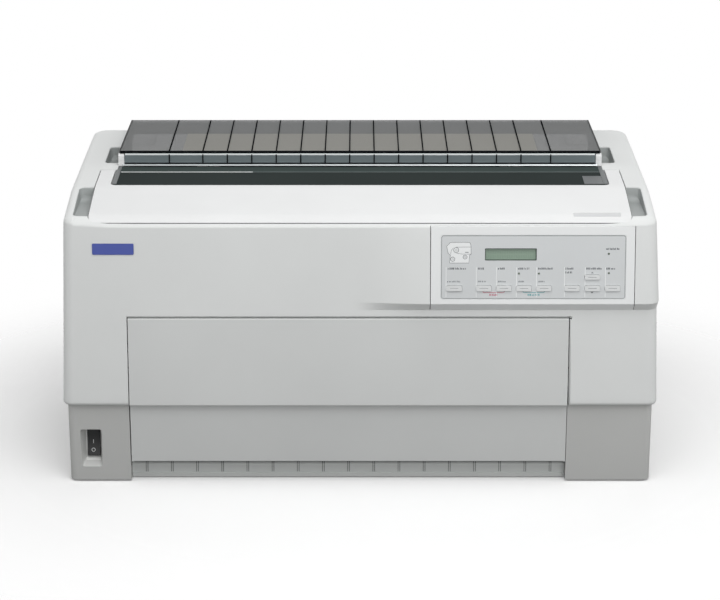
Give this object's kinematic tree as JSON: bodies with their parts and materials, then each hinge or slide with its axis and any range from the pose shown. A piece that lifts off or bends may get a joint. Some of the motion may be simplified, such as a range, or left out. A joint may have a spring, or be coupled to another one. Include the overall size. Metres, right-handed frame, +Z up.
{
  "type": "dot matrix printer",
  "caption": "Wide-carriage impact printer with hinged top cover, smoked eject cover, fold-down front cover, tractor feed and a push-button control panel.",
  "frame": {"origin": "middle of the footprint, on the table under the feet", "axes": "+X to the printer's right as seen from the front, +Y to the rear, +Z up"},
  "size_m": [0.7, 0.3823, 0.362],
  "materials": {
    "housing": "fine texture",
    "case_plastic": "fine texture",
    "cover": "fine texture",
    "door_plastic": "fine texture",
    "entry_plastic": "fine texture",
    "bezel": "printed film",
    "display": "liquid crystal display",
    "lamp": "moulded lens",
    "button": "satin",
    "badge_blue": "gloss",
    "smoke": "smoked clear",
    "steel": "zinc plated",
    "tear_steel": "brushed",
    "dark_plastic": "satin",
    "black_plastic": "satin",
    "white_plastic": "natural acetal",
    "brass": "turned",
    "rubber": "matte",
    "belt_rubber": "matte",
    "board": "solder mask",
    "motor": "painted",
    "head_metal": "cast",
    "guide_metal": "painted sheet",
    "knob_blue": "satin"
  },
  "bodies": {
    "case": {"upper_housing": "housing", "lower_case": "case_plastic", "base_plate": "steel", "rubber_feet": "rubber", "paper_entry_strip": "entry_plastic", "side_frame_left": "steel", "side_frame_right": "steel", "control_panel": "housing", "panel_bezel": "bezel", "lcd_window": "display", "indicator_lamps": "lamp", "badge_plate": "badge_blue", "ac_inlet": "black_plastic", "interface_panel": "steel", "power_supply": "steel", "main_board": "board", "front_paper_guide": "guide_metal", "rear_paper_guide": "guide_metal", "guide_rods": "steel", "carriage_belt": "belt_rubber", "carriage_motor": "motor", "feed_motor": "motor", "tractor_belt": "belt_rubber", "ribbon_cartridge": "dark_plastic"},
    "top_cover": {"top_cover": "cover", "cover_window": "smoke"},
    "eject_cover": {"eject_cover": "smoke", "tear_bar": "tear_steel", "eject_end_caps": "cover"},
    "front_cover": {"front_cover": "door_plastic"},
    "power_rocker": {"power_rocker": "black_plastic"},
    "platen": {"platen": "rubber", "platen_gear": "white_plastic"},
    "feed_pinion": {"feed_pinion": "brass"},
    "carriage": {"carriage": "dark_plastic", "print_head": "head_metal"},
    "drive_pulley": {"drive_pulley": "steel"},
    "idler_pulley": {"idler_pulley": "steel"},
    "ribbon_knob": {"ribbon_knob": "knob_blue"},
    "front_drive_shaft": {"front_drive_shaft": "steel"},
    "rear_drive_shaft": {"rear_drive_shaft": "steel"},
    "button_select": {"button_select": "button"},
    "button_font": {"button_font": "button"},
    "button_pitch": {"button_pitch": "button"},
    "button_tear_off": {"button_tear_off": "button"},
    "button_top_of_form": {"button_top_of_form": "button"},
    "button_load": {"button_load": "button"},
    "button_feed_down": {"button_feed_down": "button"},
    "button_feed_up": {"button_feed_up": "button"},
    "button_pause": {"button_pause": "button"},
    "front_tractor_left": {"front_tractor_left": "dark_plastic"},
    "front_sprocket_left": {"front_sprocket_left": "white_plastic"},
    "front_tractor_right": {"front_tractor_right": "dark_plastic"},
    "front_sprocket_right": {"front_sprocket_right": "white_plastic"},
    "rear_tractor_left": {"rear_tractor_left": "dark_plastic"},
    "rear_sprocket_left": {"rear_sprocket_left": "white_plastic"},
    "rear_tractor_right": {"rear_tractor_right": "dark_plastic"},
    "rear_sprocket_right": {"rear_sprocket_right": "white_plastic"},
    "front_gate_left": {"front_gate_left": "dark_plastic"},
    "front_gate_right": {"front_gate_right": "dark_plastic"}
  },
  "joints": [
    {"name": "top_cover_hinge", "type": "hinge", "parent": "case", "child": "top_cover", "pos_m": [0, -0.013, 0.33877], "axis": [-1, 0, 0], "range_deg": [0, 75]},
    {"name": "eject_cover_hinge", "type": "hinge", "parent": "case", "child": "eject_cover", "pos_m": [0, 0.176, 0.34224], "axis": [-1, 0, 0], "range_deg": [0, 80]},
    {"name": "front_cover_hinge", "type": "hinge", "parent": "case", "child": "front_cover", "pos_m": [0, -0.16567, 0.0335], "axis": [1, 0, 0], "range_deg": [0, 88]},
    {"name": "power_rocker_pivot", "type": "hinge", "parent": "case", "child": "power_rocker", "pos_m": [-0.3168, -0.1564, 0.04595], "axis": [1, 0, 0], "range_deg": [0, 10]},
    {"name": "platen_spin", "type": "hinge", "parent": "case", "child": "platen", "pos_m": [0, 0.018, 0.262], "axis": [1, 0, 0], "continuous": true},
    {"name": "feed_pinion_spin", "type": "hinge", "parent": "case", "child": "feed_pinion", "pos_m": [-0.308, 0.05914, 0.23825], "axis": [1, 0, 0], "continuous": true},
    {"name": "carriage_slide", "type": "slide", "parent": "case", "child": "carriage", "axis": [1, 0, 0], "range_m": [-0.222, 0.222]},
    {"name": "drive_pulley_spin", "type": "hinge", "parent": "case", "child": "drive_pulley", "pos_m": [-0.274, -0.094, 0.224], "axis": [0, 1, 0], "range_deg": [-1100, 1100]},
    {"name": "idler_pulley_spin", "type": "hinge", "parent": "case", "child": "idler_pulley", "pos_m": [0.274, -0.094, 0.224], "axis": [0, 1, 0], "range_deg": [-1100, 1100]},
    {"name": "ribbon_knob_spin", "type": "hinge", "parent": "case", "child": "ribbon_knob", "pos_m": [0.236, -0.135, 0.3], "axis": [0, 0, 1], "continuous": true},
    {"name": "front_shaft_spin", "type": "hinge", "parent": "case", "child": "front_drive_shaft", "pos_m": [0, -0.118, 0.15], "axis": [1, 0, 0], "continuous": true},
    {"name": "rear_shaft_spin", "type": "hinge", "parent": "case", "child": "rear_drive_shaft", "pos_m": [0, 0.128, 0.296], "axis": [1, 0, 0], "continuous": true},
    {"name": "button_select_press", "type": "slide", "parent": "case", "child": "button_select", "axis": [0, 0.9933, -0.1159], "range_m": [0, 0.001], "stiffness_N_per_m": 300, "springref_m": -0.001},
    {"name": "button_font_press", "type": "slide", "parent": "case", "child": "button_font", "axis": [0, 0.9933, -0.1159], "range_m": [0, 0.001], "stiffness_N_per_m": 300, "springref_m": -0.001},
    {"name": "button_pitch_press", "type": "slide", "parent": "case", "child": "button_pitch", "axis": [0, 0.9933, -0.1159], "range_m": [0, 0.001], "stiffness_N_per_m": 300, "springref_m": -0.001},
    {"name": "button_tear_off_press", "type": "slide", "parent": "case", "child": "button_tear_off", "axis": [0, 0.9933, -0.1159], "range_m": [0, 0.001], "stiffness_N_per_m": 300, "springref_m": -0.001},
    {"name": "button_top_of_form_press", "type": "slide", "parent": "case", "child": "button_top_of_form", "axis": [0, 0.9933, -0.1159], "range_m": [0, 0.001], "stiffness_N_per_m": 300, "springref_m": -0.001},
    {"name": "button_load_press", "type": "slide", "parent": "case", "child": "button_load", "axis": [0, 0.9933, -0.1159], "range_m": [0, 0.001], "stiffness_N_per_m": 300, "springref_m": -0.001},
    {"name": "button_feed_down_press", "type": "slide", "parent": "case", "child": "button_feed_down", "axis": [0, 0.9933, -0.1159], "range_m": [0, 0.001], "stiffness_N_per_m": 300, "springref_m": -0.001},
    {"name": "button_feed_up_press", "type": "slide", "parent": "case", "child": "button_feed_up", "axis": [0, 0.9933, -0.1159], "range_m": [0, 0.001], "stiffness_N_per_m": 300, "springref_m": -0.001},
    {"name": "button_pause_press", "type": "slide", "parent": "case", "child": "button_pause", "axis": [0, 0.9933, -0.1159], "range_m": [0, 0.001], "stiffness_N_per_m": 300, "springref_m": -0.001},
    {"name": "front_tractor_left_slide", "type": "slide", "parent": "case", "child": "front_tractor_left", "axis": [1, 0, 0], "range_m": [-0.035, 0.035]},
    {"name": "front_sprocket_left_spin", "type": "hinge", "parent": "front_tractor_left", "child": "front_sprocket_left", "pos_m": [-0.19, -0.118, 0.15], "axis": [1, 0, 0], "continuous": true},
    {"name": "front_tractor_right_slide", "type": "slide", "parent": "case", "child": "front_tractor_right", "axis": [1, 0, 0], "range_m": [-0.035, 0.035]},
    {"name": "front_sprocket_right_spin", "type": "hinge", "parent": "front_tractor_right", "child": "front_sprocket_right", "pos_m": [0.19, -0.118, 0.15], "axis": [1, 0, 0], "continuous": true},
    {"name": "rear_tractor_left_slide", "type": "slide", "parent": "case", "child": "rear_tractor_left", "axis": [1, 0, 0], "range_m": [-0.035, 0.035]},
    {"name": "rear_sprocket_left_spin", "type": "hinge", "parent": "rear_tractor_left", "child": "rear_sprocket_left", "pos_m": [-0.19, 0.128, 0.296], "axis": [1, 0, 0], "continuous": true},
    {"name": "rear_tractor_right_slide", "type": "slide", "parent": "case", "child": "rear_tractor_right", "axis": [1, 0, 0], "range_m": [-0.035, 0.035]},
    {"name": "rear_sprocket_right_spin", "type": "hinge", "parent": "rear_tractor_right", "child": "rear_sprocket_right", "pos_m": [0.19, 0.128, 0.296], "axis": [1, 0, 0], "continuous": true},
    {"name": "front_gate_left_hinge", "type": "hinge", "parent": "front_tractor_left", "child": "front_gate_left", "pos_m": [-0.2047, -0.118, 0.16837], "axis": [0, -1, 0], "range_deg": [0, 100]},
    {"name": "front_gate_right_hinge", "type": "hinge", "parent": "front_tractor_right", "child": "front_gate_right", "pos_m": [0.2047, -0.118, 0.16837], "axis": [0, 1, 0], "range_deg": [0, 100]}
  ],
  "couplings": [
    {"joint": "feed_pinion_spin", "follows": "platen_spin", "ratio": -5.3333},
    {"joint": "drive_pulley_spin", "follows": "carriage_slide", "rad_per_m": 83.333},
    {"joint": "idler_pulley_spin", "follows": "carriage_slide", "rad_per_m": 83.333},
    {"joint": "front_shaft_spin", "follows": "platen_spin", "ratio": 1.2368},
    {"joint": "rear_shaft_spin", "follows": "platen_spin", "ratio": 1.2368},
    {"joint": "front_sprocket_left_spin", "follows": "platen_spin", "ratio": 1.2368},
    {"joint": "front_sprocket_right_spin", "follows": "platen_spin", "ratio": 1.2368},
    {"joint": "rear_sprocket_left_spin", "follows": "platen_spin", "ratio": 1.2368},
    {"joint": "rear_sprocket_right_spin", "follows": "platen_spin", "ratio": 1.2368}
  ]
}
